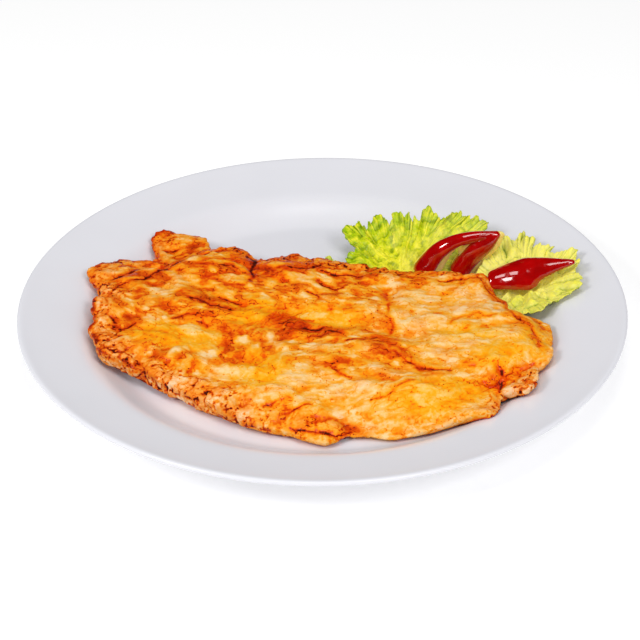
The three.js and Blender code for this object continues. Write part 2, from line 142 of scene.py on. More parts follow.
# Creases and burnt lines: points along each, half width, browning, depth.
LINES = [
    ([(-49, 53), (-58, 48), (-64, 42), (-70, 36), (-74, 33), (-80, 33), (-86, 30), (-94, 24), (-101, 16)],
     1.1, 0.88, 1.0),
    ([(-70, 36), (-75, 28), (-81, 21), (-87, 18), (-91, 15), (-94, 8), (-98, -3)], 1.2, 0.82, 0.9),
    ([(-72, 57), (-66, 58), (-60, 60)], 0.9, 0.8, 0.6),
    ([(-80, 62), (-78, 54), (-75, 47)], 1.0, 0.85, 0.5),
    ([(-47, 36), (-42, 37), (-39, 33)], 0.9, 0.84, 0.4),
    ([(-62, 8), (-52, 5), (-46, -1), (-41, -3)], 2.2, 0.84, 0.7),
    ([(-46, 11), (-39, 6), (-35, 3)], 0.8, 0.84, 0.4),
    ([(-66, -8), (-60, -6), (-54, -6), (-51, -12)], 1.0, 0.76, 0.4),
    ([(-97, -8), (-90, -16), (-88, -20)], 1.2, 0.95, 0.9),
    ([(-88, -20), (-83, -14)], 0.9, 0.86, 0.6),
    ([(-79, -40), (-77, -47), (-76, -52)], 2.2, 1.0, 2.4),
    ([(-85, -44), (-83, -50)], 1.5, 1.0, 1.4),
    ([(-72, -52), (-70, -58)], 1.8, 1.0, 1.4),
    ([(-61, -39), (-68, -50)], 0.9, 0.72, 0.4),
    ([(-33, 48), (-31, 42), (-33, 34), (-31, 26)], 1.8, 0.88, 1.1),
    ([(-29, 27), (-22, 27)], 0.9, 0.9, 0.5),
    ([(-7, 13), (-2, 9)], 0.8, 0.84, 0.4),
    ([(-2, 20), (5, 17), (10, 17)], 0.8, 0.84, 0.4),
    ([(4, 29), (11, 27), (18, 28)], 1.3, 0.84, 0.6),
    ([(-14, 31), (-6, 33), (0, 36)], 1.2, 0.9, 0.6),
    ([(-9, -15), (-3, -17), (3, -14)], 1.2, 0.94, 0.6),
    ([(-6, -24), (2, -21)], 0.8, 0.78, 0.3),
    ([(4, -19), (9, -23)], 0.9, 0.9, 0.4),
    ([(10, -28), (16, -27), (20, -28), (24, -25)], 0.8, 0.82, 0.4),
    ([(29, -36), (36, -44), (45, -50), (54, -51)], 1.1, 0.74, 0.5),
    ([(20, -71), (27, -68), (34, -63), (38, -62)], 0.8, 0.62, 0.3),
    ([(-18, -77), (-12, -76), (-7, -73)], 0.9, 0.7, 0.4),
    ([(-25, -72), (-14, -70)], 0.8, 0.6, 0.3),
    ([(2, -46), (6, -52), (12, -54)], 0.8, 0.64, 0.3),
    ([(56, -14), (61, -9), (68, -7), (76, -11)], 0.8, 0.52, 0.3),
    ([(82, 3), (83, -8), (88, -17), (92, -26), (93, -36)], 1.1, 0.6, 0.6),
    ([(70, 22), (76, 13), (83, 3)], 1.0, 0.74, 0.5),
    ([(53, 22), (62, 23), (71, 21)], 1.2, 0.88, 0.8),
    ([(29, 14), (30, 2), (29, -8), (30, -18)], 1.0, 0.6, 0.3),
    ([(75, -50), (76, -58), (73, -66), (73, -73)], 1.5, 0.9, 1.4),
    ([(80, -58), (83, -68)], 0.9, 0.84, 0.8),
    ([(70, -58), (75, -55), (81, -50)], 0.8, 0.74, 0.5),
    ([(-14, -84), (-6, -87), (4, -87), (11, -84)], 1.0, 0.86, 1.0),
    ([(-44, -74), (-36, -78), (-28, -80)], 1.2, 0.86, 0.6),
]

# Which way the crust's grain runs: x, y, angle.
GRAIN = [
    (-72, 12, 42), (-90, -10, -42), (-90, 25, 25), (-72, 55, 20), (-55, 4, -12), (-50, -35, -58), (-75, -38, 48),
    (-35, 25, -14), (-10, 22, -28), (5, 25, -25), (20, 32, -6), (-18, -12, 60), (0, -17, 2), (15, -27, 4),
    (-28, -40, 80), (0, -62, 8), (26, -66, 24), (-15, -76, 14), (-38, -52, -34), (60, 2, 6), (50, -38, -18),
    (35, -38, -42), (75, -25, -26), (88, -12, -44), (98, -35, -80), (60, -66, 36), (78, -62, 62), (-62, -60, -20),
    (45, -82, 9), (15, 5, -10),
]

# ---- The lettuce: each leaf spreads from its cut base to a ragged edge ----

LEAF_REST = 0.9  # least height of a leaf's base over the plate
PUCKERS = ((7, 3.0), (3, 0.7), (1.5, 0.4))  # size and height of those between the veins
RUFFLES = ((5, 1, 7, 6), (2.3, 0.6, 4, 7))  # length and share of the frill's waves, and size and seed of their wander

# replaces: CAD node. base: x, y, z of the cut base. pale: how yellow-white it is at each end of its edge.
# edge: x, y, z of its tips and notches, all the way round from one side of the base to the other.
LEAVES = {
    "lettuce_left_leaf": {
        "replaces": "lettuce_left",
        "base": (37, 43.5, 9.3),
        "pale": (-0.1, 0.5),
        "seed": 3,
        "edge": [
            (15, 41.5, 11.5), (12.5, 47, 13), (11, 52, 14), (13, 55, 16), (15.5, 54.5, 16), (16, 57, 17),
            (13, 60, 17.5), (11, 63.5, 18), (10, 68.5, 19), (11.5, 72.5, 20), (13.5, 71, 19.5), (15, 72.5, 20),
            (16, 70, 20),
            (17, 73.5, 21.5), (19.5, 69.5, 21), (21, 64.5, 20.5), (22, 70.5, 22.5), (23, 69, 22.5), (25.5, 73.5, 25),
            (29.5, 72, 25), (31.5, 67.5, 23), (34, 70.5, 24.5), (33, 72.5, 25), (37, 73, 26), (38.5, 70.5, 25.5),
            (41, 73, 26.5), (42.5, 67, 24.5), (43.5, 70.5, 26), (46.5, 68.5, 25), (48, 75, 27), (50.5, 77, 28),
            (52.5, 74, 27), (55.5, 67.5, 26), (57, 68.5, 26), (58.5, 67.5, 25.5), (62, 72, 26.5), (65.5, 73.5, 27),
            (66, 69, 26), (67.5, 67.5, 26), (69.5, 70, 26.5), (70, 67, 25.5), (74, 68.5, 26.5), (74, 65.5, 26),
            (78, 64.5, 25.5), (76.5, 60, 25), (72, 57, 21),
            (71, 47, 12), (61, 43.5, 9.3), (50, 43.5, 9.3),
        ],
    },
    "lettuce_left_curl": {
        "replaces": "lettuce_left",
        "base": (5, 46.5, 9.5),
        "pale": (0.4, 0.4),
        "seed": 8,
        "edge": [(-1, 46.5, 12), (0, 48, 14), (2, 50, 15), (4.5, 49.5, 15.5), (5.5, 48, 15), (7.5, 47.5, 14.5),
                 (9.5, 46.5, 13)],
    },
    "lettuce_right_leaf": {
        "replaces": "lettuce_right",
        "base": (90, 25, 10.5),
        "pale": (1.6, 0.6),
        "seed": 5,
        "edge": [
            (84, 4, 11), (76, 9, 10.5), (71, 22, 11.5), (70, 36, 13), (74, 42, 18), (78.5, 47, 20.5), (82, 53, 22),
            (85, 55, 23.5), (86.5, 53, 23), (89.5, 51.5, 22.5), (92, 56, 24.5), (94, 57.5, 25), (94.5, 54, 24.5),
            (93, 51.5, 24), (96.5, 53, 24.5), (99, 51.5, 24.5), (96.5, 46.5, 23.5), (100.5, 46.5, 24),
            (101, 45, 23.5), (107, 44.5, 24), (105.5, 42, 23.5), (103, 41.5, 23), (107.5, 39.5, 23.5),
            (115, 40.5, 25), (117.5, 40, 25), (115.5, 34, 24), (117, 30, 24), (114.5, 23.5, 23), (117.5, 17.5, 23),
            (115.5, 15.5, 22), (116.5, 12.5, 22), (111.5, 8.5, 21), (107, 6.5, 20), (102.5, 4, 19),
            (97.5, -2.5, 18.5), (91.5, -2, 16.5), (85.5, -1, 14.5), (79, 2, 12.5), (75, 13, 11),
        ],
    },
}

# ---- The peppers ----

SHRUNK = 0.45  # how far smoothing draws the pieces in
WALL_THINS = (14, 33, 0.62)  # heights between which the cut wall thins towards the tip, and by what share

# strips: a point inside each strip, the way its skin faces, and how far the pale wall of the fruit shows past the
# skin on its left and right. cut: how steep the skin ends. axis, from, to: where the end that lies behind the
# schnitzel begins and is complete. draw_out: how far that end is drawn out.
PEPPERS = {
    "pepper_fork": {
        "strips": [((57, 41.5, 23), (-0.25, -0.72, 0.64), (0, 4)), ((72, 42, 22), (0.1, -0.86, 0.5), (3, 5.8))],
        "cut": 0.2,
        "axis": (0, 0, 1),
        "from": 20,
        "to": 8.5,
        "draw_out": (-1, -2.5, -1.5),
    },
    "pepper_point": {
        "strips": [((95, 24, 25), (0.1, -0.55, 0.83), (0, 1.2))],
        "cut": 0.36,
        "axis": (1, 0, 0),
        "from": 90,
        "to": 76,
        "draw_out": (-1, -5, 1.5),
    },
}

# ---- The stage ----

# The plate sits a little above the middle of a square frame: the offset and the width, in pixels.
FRAME_OFFSET = (-2.2, -19.19)
FRAME_WIDTH = 640
# Softboxes: place in m, power in W, size in m. They all aim at one point.
LIT = (0, 0, 0.02)
SOFTBOXES = {
    "left_softbox": ((-0.85, -0.6, 0.85), 6.2, 0.35),
    "right_softbox": ((0.55, -0.85, 0.9), 5, 0.4),
    "top_softbox": ((0.05, -0.3, 1.2), 3, 0.45),
}


def linear(hex_colour):
    """Turns an sRGB hex colour into the linear RGBA that shaders take."""
    values = [int(hex_colour[i:i + 2], 16) / 255 for i in (1, 3, 5)]
    return [v / 12.92 if v <= 0.04045 else ((v + 0.055) / 1.055) ** 2.4 for v in values] + [1.0]


def smoothstep(value, low, high):
    """Runs smoothly from 0 at low to 1 at high, for a number or an array."""
    t = np.clip((np.asarray(value, dtype=float) - low) / (high - low), 0, 1)
    return t * t * (3 - 2 * t)


def plate_top(radius):
    """Height of the plate's upper surface at a distance from its axis, both in mm."""
    wall = smoothstep(radius, PLATE["well_radius"], PLATE["shoulder_radius"])
    span = PLATE["radius"] - PLATE["rim_from"]
    rim = np.maximum(0, (np.asarray(radius, dtype=float) - PLATE["rim_from"]) / span)
    return PLATE["floor"] + PLATE["wall_rise"] * wall + PLATE["rim_rise"] * rim ** 1.3


def plate_below(points):
    """Height of the plate's upper surface below points, in mm."""
    return plate_top(np.hypot(points[:, 0], points[:, 1]))


def scrambled(table, cell):
    """A number from 0 to 255 for each cell of a grid, without a visible order."""
    key = 0
    for axis in range(3):
        key = table[(key + cell[:, axis]) & 255]
    return key


def bumps(points, size, seed, octaves=1):
    """Smooth noise from about -1 to 1 at points in mm. Its largest bumps are about size mm across."""
    rng = np.random.default_rng(seed)
    table = rng.permutation(256)
    slopes = rng.normal(size=(256, 3))
    slopes /= np.linalg.norm(slopes, axis=1)[:, None]
    place = points / size + rng.uniform(0, 50, 3)
    total = np.zeros(len(points))
    strength = 1.5
    for _ in range(octaves):
        cell = np.floor(place).astype(int)
        inside = place - cell
        ease = inside ** 3 * (inside * (inside * 6 - 15) + 10)
        for corner in itertools.product((0, 1), repeat=3):
            share = np.where(corner, ease, 1 - ease).prod(axis=1)
            total += strength * share * (slopes[scrambled(table, cell + corner)] * (inside - corner)).sum(axis=1)
        place = place * 2 + 7.3
        strength /= 2
    return total


def cells(points, size, seed, direction, stretch):
    """Irregular cells about size mm across, drawn out along a direction.

    Returns how deep each point lies in its cell, from 0 at the border to about 1, and a random number for the cell.
    """
    rng = np.random.default_rng(seed)
    table, jitter, value = rng.permutation(256), rng.uniform(0, 1, (256, 3)), rng.uniform(0, 1, 256)
    home = np.floor(points / size).astype(int)
    nearest = np.full(len(points), FAR)
    second, chosen = nearest.copy(), np.zeros(len(points))
    reach = range(-2, 3) if stretch > 1.3 else range(-1, 2)
    for step in itertools.product(reach, reach, (-1, 0, 1)):
        key = scrambled(table, home + step)
        gap = points - (home + step + jitter[key]) * size
        distance = np.sqrt((gap ** 2).sum(axis=1) - (gap * direction).sum(axis=1) ** 2 * (1 - stretch ** -2))
        closer = distance < nearest
        second = np.where(closer, nearest, np.minimum(second, distance))
        chosen = np.where(closer, value[key], chosen)
        nearest = np.where(closer, distance, nearest)
    return (second - nearest) / size, chosen


# ---- Small tools ----


def plug(node, inputs):
    """Links each input that is given another node's output, and sets the others."""
    for key, value in inputs.items():
        if isinstance(value, bpy.types.NodeSocket):
            node.id_data.links.new(value, node.inputs[key])
        else:
            node.inputs[key].default_value = value


def add_node(tree, kind, inputs=None, stops=(), **settings):
    """Adds a node with its settings, inputs and colour stops, and returns its outputs.

    Inputs 1 to 4 of a Map Range are the ends of its ranges, and 6 and 7 of a Mix are its colours.
    """
    node = tree.nodes.new("ShaderNode" + kind)
    for name, value in settings.items():
        setattr(node, name, value)
    plug(node, inputs or {})
    if stops:
        elements = node.color_ramp.elements
        while len(elements) < len(stops):
            elements.new(1.0)
        for element, (position, colour) in zip(elements, stops):
            element.position, element.color = position, linear(colour)
    return node.outputs


def new_material(name):
    """An empty material, the function that adds a node to it, and its shader, which is linked to its output."""
    material = bpy.data.materials.new(name)
    material.use_nodes = True
    tree = material.node_tree
    tree.nodes.clear()
    shader = tree.nodes.new("ShaderNodeBsdfPrincipled")
    add_node(tree, "OutputMaterial", {"Surface": shader.outputs[0]})
    return material, functools.partial(add_node, tree), shader


def mottled(add, place, colour, size, low, high, detail=2.0):
    """A noise of size mm, and a colour that it darkens and lightens between low and high."""
    noise = add("TexNoise", {"Vector": place, "Scale": PER_MM / size, "Detail": detail})["Fac"]
    tone = add("MapRange", {"Value": noise, 1: 0.3, 2: 0.7, 3: low, 4: high})[0]
    return noise, add("Mix", {0: 1.0, 6: list(colour), 7: tone}, data_type="RGBA", blend_type="MULTIPLY")[2]


def select_only(piece=None):
    """Deselects everything, then selects and activates one piece, if one is given."""
    bpy.ops.object.select_all(action="DESELECT")
    if piece:
        piece.select_set(True)
        bpy.context.view_layer.objects.active = piece


def apply_modifier(piece, kind, **settings):
    """Adds a modifier with its settings and applies it at once."""
    select_only(piece)
    modifier = piece.modifiers.new(kind.title(), kind)
    for name, value in settings.items():
        setattr(modifier, name, value)
    bpy.ops.object.modifier_apply(modifier=modifier.name)


def copy_of_node(node, name):
    """A merged copy of a CAD node's mesh as a piece of its own."""
    piece = bpy.data.objects.new(name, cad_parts[node].data.copy())
    piece.data.materials.clear()
    bpy.context.scene.collection.objects.link(piece)
    select_only(piece)
    bpy.ops.object.mode_set(mode="EDIT")
    bpy.ops.mesh.select_all(action="SELECT")
    bpy.ops.mesh.remove_doubles(threshold=0.01 * MM)
    bpy.ops.object.mode_set(mode="OBJECT")
    return piece


def settle(piece, material, node):
    """Gives a finished piece its finish and its place in the frame."""
    select_only(piece)
    bpy.ops.object.transform_apply(location=True, rotation=True, scale=True)
    bpy.ops.object.shade_smooth()
    piece.data.materials.clear()
    piece.data.materials.append(material)
    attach(piece, ROOT)
    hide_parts(node)


def vectors(items, name):
    """One vector an item, as an array."""
    values = np.empty(len(items) * 3)
    items.foreach_get(name, values)
    return values.reshape(-1, 3)


def coordinates(piece):
    """The piece's vertices as an array in mm."""
    return vectors(piece.data.vertices, "co") / MM


def vertex_normals(piece):
    """The piece's vertex normals as an array."""
    return vectors(piece.data.vertex_normals, "vector")


def move_vertices(piece, points):
    """Puts the piece's vertices at points given in mm."""
    piece.data.vertices.foreach_set("co", (np.asarray(points) * MM).ravel())
    piece.data.update()


def store(piece, **fields):
    """Stores numbers, one a vertex, under their names, for materials and later steps to read."""
    for name, values in fields.items():
        attribute = piece.data.attributes.new(name, "FLOAT", "POINT")
        attribute.data.foreach_set("value", np.asarray(values, dtype=float))


def take(piece, name):
    """Reads the numbers stored under a name and removes them."""
    attribute = piece.data.attributes[name]
    values = np.empty(len(piece.data.vertices))
    attribute.data.foreach_get("value", values)
    piece.data.attributes.remove(attribute)
    return values


# ---- Plate ----


class PlateSettings(bpy.types.PropertyGroup):
    """Sizes and colours of the plate."""

    segments: bpy.props.IntProperty(
        name="Segments", description="Sides of the plate's circle before smoothing", default=96, min=24)
    glaze: bpy.props.FloatVectorProperty(
        name="Glaze", description="Colour of the white glaze", subtype="COLOR", size=4, default=linear("#E4E4EA"))
    biscuit: bpy.props.FloatVectorProperty(
        name="Biscuit", description="Colour of the bare foot ring", subtype="COLOR", size=4,
        default=linear("#D9D2C6"))


def plate_profile():
    """Points (radius, height) in mm from the middle of the top round the lip to the middle of the underside."""
    radius, depth = PLATE["radius"], PLATE["foot_depth"]
    lip = float(plate_top(radius))
    top = [(r, float(plate_top(r))) for r in (4, 40, 70, 84, 88, 91, 94, 97, 100, 103, 106, 109, 113, 119, 126, 131)]
    edge = [(133.6, lip - 0.15), (134.6, lip - 0.45), (radius, lip - 1.2), (134.7, lip - 2.2), (133.4, lip - 2.9)]
    outer = PLATE["foot_radius"] + PLATE["foot_width"] / 2
    inner = PLATE["foot_radius"] - PLATE["foot_width"] / 2
    under = []
    for r in (130, 122, 113, 107, 103, 99, 95, 91, 86, 80):
        share = float(smoothstep(r, outer, radius))
        wall = PLATE["thickness"] + 0.6
        under.append((r, float(plate_top(r)) - (wall + (PLATE["lip_thickness"] - wall) * share)))
    foot = [(outer + 2.2, depth), (outer + 0.5, 1.2), (outer, 0.25), (outer - 0.4, 0),
            (inner + 0.4, 0), (inner, 0.25), (inner - 0.5, 1.2), (inner - 2.4, depth), (50, depth), (4, depth)]
    return top + edge + under + foot


def porcelain(settings):
    """Glazed porcelain: a clear, hard gloss over white that wavers a little; the wiped foot ring is bare and dull."""
    material, add, shader = new_material("Glazed porcelain")
    place = add("TexCoord")["Object"]
    # The glaze pools in very shallow waves about 25 mm across.
    waves, shade = mottled(add, place, settings.glaze, 25, 0.985, 1.0, detail=1.0)
    height = add("SeparateXYZ", {0: place})["Z"]
    bare = add("MapRange", {"Value": height, 1: 0.1 * MM, 2: 0.3 * MM, 3: 1.0, 4: 0.0})[0]
    plug(shader, {
        "Base Color": add("Mix", {0: bare, 6: shade, 7: list(settings.biscuit)}, data_type="RGBA")[2],
        "Roughness": add("MapRange", {"Value": bare, 3: 0.27, 4: 0.8})[0],
        "Normal": add("Bump", {"Height": waves, "Strength": 0.06, "Distance": 0.3 * MM})[0],
        "IOR": 1.52,
    })
    return material


class SCHNITZEL_OT_plate(bpy.types.Operator):
    """Raises the plate ring by ring from a circle, then smooths it"""

    bl_idname = "schnitzel.plate"
    bl_label = "Plate"

    def execute(self, context):
        settings = context.scene.schnitzel_plate
        profile = plate_profile()
        select_only()
        bpy.ops.mesh.primitive_circle_add(
            vertices=settings.segments, radius=profile[0][0] * MM, location=(0, 0, profile[0][1] * MM))
        piece = context.object
        piece.name = "dinner_plate"
        bpy.ops.object.mode_set(mode="EDIT")
        bpy.ops.mesh.extrude_region_move()
        bpy.ops.mesh.merge(type="CENTER")
        bpy.ops.mesh.select_all(action="SELECT")
        bpy.ops.mesh.select_non_manifold()
        for (radius, height), (next_radius, next_height) in zip(profile, profile[1:]):
            bpy.ops.mesh.extrude_region_move(
                TRANSFORM_OT_translate={"value": (0, 0, (next_height - height) * MM)})
            scale = next_radius / radius
            bpy.ops.transform.resize(value=(scale, scale, 1))
        bpy.ops.mesh.extrude_region_move()
        bpy.ops.mesh.merge(type="CENTER")
        bpy.ops.mesh.select_all(action="SELECT")
        bpy.ops.mesh.normals_make_consistent(inside=False)
        bpy.ops.object.mode_set(mode="OBJECT")
        apply_modifier(piece, "SUBSURF", levels=1, render_levels=1)
        settle(piece, porcelain(settings), "plate")
        return {"FINISHED"}


# ---- Schnitzel ----


class CrustSettings(bpy.types.PropertyGroup):
    """Sizes of the schnitzel's crust."""

    first_voxel: bpy.props.FloatProperty(
        name="First voxel", description="Size of the mesh that the lumps and creases are cut into", unit="LENGTH",
        default=0.9 * MM, min=0.5 * MM)
    voxel: bpy.props.FloatProperty(
        name="Voxel", description="Size of the mesh that carries the crust's fine relief", unit="LENGTH",
        default=0.6 * MM, min=0.4 * MM)
    lump_size: bpy.props.FloatProperty(
        name="Lump size", description="Size of the crumbly lumps along the edge", unit="LENGTH", default=4.4 * MM)
    lump_height: bpy.props.FloatProperty(
        name="Lump height", description="How far the lumps stand out", unit="LENGTH", default=1.1 * MM)


def grain_direction(points):
    """The crust's grain at points in mm, as unit vectors in the plane."""
    total = np.zeros((len(points), 2))
    for x, y, angle in GRAIN:
        weight = 1 / ((points[:, 0] - x) ** 2 + (points[:, 1] - y) ** 2 + 60) ** 1.5
        turn = math.radians(angle) * 2
        total += weight[:, None] * np.array([math.cos(turn), math.sin(turn)])
    half = np.arctan2(total[:, 1], total[:, 0]) / 2
    return np.stack([np.cos(half), np.sin(half), np.zeros(len(points))], axis=1)


def streaks(points, direction, size, reach, seed):
    """Noise drawn out along the grain over reach mm to either side."""
    total = sum(bumps(points + direction * step, size, seed) for step in np.linspace(-reach, reach, 7))
    return total / 3.6


def inside_oval(points, x, y, length, width, angle, soft):
    """1 inside an oval in the plane, falling to 0 over its outer part."""
    turn = math.radians(angle)
    across, along = points[:, 0] - x, points[:, 1] - y
    u = (across * math.cos(turn) + along * math.sin(turn)) / length
    v = (along * math.cos(turn) - across * math.sin(turn)) / width
    return 1 - smoothstep(np.hypot(u, v), 1 - soft, 1 + soft)


def line_distance(points, corners):
    """Distance in the plane to the nearest point of a line through corners, in mm."""
    nearest = np.full(len(points), FAR)
    for start, end in zip(corners, corners[1:]):
        start, run = np.array(start, dtype=float), np.subtract(end, start)
        share = np.clip(((points[:, :2] - start) @ run) / (run @ run), 0, 1)
        nearest = np.minimum(nearest, np.linalg.norm(points[:, :2] - start - share[:, None] * run, axis=1))
    return nearest


def shift(points, *waves):
    """Points pushed about in the plane by noises of a size, amount and seed, which makes plain outlines ragged."""
    for size, amount, seed in waves:
        push = [amount * bumps(points, size, seed), amount * bumps(points, size, seed + 1), np.zeros(len(points))]
        points = points + np.stack(push, axis=1)
    return points


def worn(points):
    """Where creases are open and scorched, from 0 where they fade out to 1."""
    return smoothstep(bumps(points, 7, 84), -0.75, 0.1)


def hollows(piece, rounds):
    """How far each vertex lies under the surface smoothed in rounds, in mm. It is above 0 in hollows."""
    points = coordinates(piece)
    ends = np.empty(len(piece.data.edges) * 2, dtype=int)
    piece.data.edges.foreach_get("vertices", ends)
    ends = ends.reshape(-1, 2)
    source, other = np.concatenate([ends, ends[:, ::-1]]).T
    count = np.bincount(source, minlength=len(points))[:, None]
    smooth = points
    for _ in range(rounds):
        sums = [np.bincount(source, smooth[other, axis], len(points)) for axis in range(3)]
        smooth = np.stack(sums, axis=1) / count
    return ((smooth - points) * vertex_normals(piece)).sum(axis=1)


def edge_distance(points):
    """Roughly how far inside the outline each point lies, in mm."""
    offset = points[:, :2] - np.array(MIDDLE)
    bearing = np.degrees(np.arctan2(offset[:, 1], offset[:, 0])) % 360
    radius = np.hypot(offset[:, 0], offset[:, 1])
    reach = np.zeros(180)
    np.maximum.at(reach, (bearing / 2).astype(int), radius)
    return np.interp(bearing, np.arange(180) * 2 + 1, reach, period=360) - radius


def facing(piece):
    """How upright the surface stands, from 0 where it lies flat to 1, and how far it faces up, from 0 to 1."""
    up = vertex_normals(piece)[:, 2]
    return 1 - smoothstep(np.abs(up), 0.3, 0.85), smoothstep(up, -0.2, 0.4)


def underside(points):
    """Height of the schnitzel's underside in mm: on the well's floor, bridging up to the plate's wall at its ends."""
    bridge = 8 * smoothstep(np.abs(points[:, 0]), 52, 116)
    return np.maximum(plate_below(points), PLATE["floor"] + bridge) + CLEARANCE


def crumbly(points):
    """How crumbly the edge is: most at the back and on the left, less on the thin flaps there and at the front."""
    x, y = points[:, 0], points[:, 1]
    left = 1 - smoothstep(x, -50, 0)
    back = smoothstep(y, 10, 32) * (0.85 - 0.2 * smoothstep(x, 10, 50))
    end = smoothstep(x, 62, 76) * (1 - smoothstep(y, -60, -40))
    flap = smoothstep(y, 18, 30) * (1 - smoothstep(x, -58, -50))
    return (0.3 + 0.7 * np.clip(np.maximum(np.maximum(left, back), end), 0, 1)) * (1 - 0.45 * flap)


def lumps(points, inner, wall, top, size):
    """Heights of the edge's lumps, drawn out from the middle with clefts between them, and numbers to store."""
    outwards = np.pad(points[:, :2] - np.array(MIDDLE), ((0, 0), (0, 1)))
    outwards /= np.linalg.norm(outwards, axis=1)[:, None] + 1e-9
    squat = shift(points, (6, 2.4, 35), (2.5, 0.7, 38)) * (1, 1, 0.7)
    big, lot = cells(squat, size, 91, outwards, 1.9)
    small, small_lot = cells(shift(squat, (3, 0.8, 37)), size / 2, 92, outwards, 1.4)
    crown = 0.6 * smoothstep(big, 0.0, 0.18) + 0.4 * smoothstep(small, 0.0, 0.24)
    margin = 1 - smoothstep(inner, 4, 17)
    rough = np.maximum(wall, 0.75 * margin * top) * crumbly(points)
    height = crown - 0.9 + 0.9 * (lot - 0.5) + 0.4 * (small_lot - 0.5) + 0.3 * bumps(points, 2.4, 94, 2)
    return height, {"crown": crown, "lot": 0.6 * lot + 0.4 * small_lot, "rough": rough}


def shape_crust(piece, settings):
    """Cuts the creases, raises the flakes and the edge's lumps, and thins the plain edge at the front right."""
    points, normals = coordinates(piece), vertex_normals(piece)
    wall, top = facing(piece)
    broken = shift(points, *RAGGED)
    # Smoothing drew the walls in by about as much as they are put out here.
    rise = 1.1 * wall
    open_share = 0.3 + 0.7 * worn(points)
    for corners, width, _, depth in LINES:
        valley = np.exp(-(line_distance(broken, corners) / (width + 0.3)) ** 2)
        rise -= 0.75 * depth * valley * np.maximum(top, wall) * open_share
    for *oval, _ in FLAKES:
        rise += 0.45 * inside_oval(broken, *oval, 0.25) * top
    rise += (0.35 * bumps(points, 9, 31) + 0.3 * bumps(points, 4.5, 32)) * top
    inner = edge_distance(points)
    height, fields = lumps(points, inner, wall, top, settings.lump_size / MM)
    rise += settings.lump_height / MM * height * fields["rough"]
    points = points + normals * rise[:, None]
    for x, y, reach, *move in NUDGES:
        share = 1 - smoothstep(np.hypot(points[:, 0] - x, points[:, 1] - y), 0.2 * reach, reach)
        points = points + share[:, None] * np.array(move) * (1, 1, 0) + np.outer(share * top, (0, 0, move[2]))
    under = underside(points)
    # The skirt hangs down to the plate where the stiff left end stands off it.
    low = np.maximum(under - plate_below(points) - CLEARANCE, 0) * (points[:, 0] < 0)
    points[:, 2] -= 0.7 * low * wall * (1 - smoothstep(points[:, 2] - under, 0, 6))
    thin = 0.5 * (1 - crumbly(points)) * (1 - smoothstep(inner, 0, 12))
    points[:, 2] = np.where(points[:, 2] > under, under + (points[:, 2] - under) * (1 - thin), points[:, 2])
    points[:, 2] = np.maximum(points[:, 2], plate_below(points) + CLEARANCE)
    move_vertices(piece, points)
    store(piece, **fields)


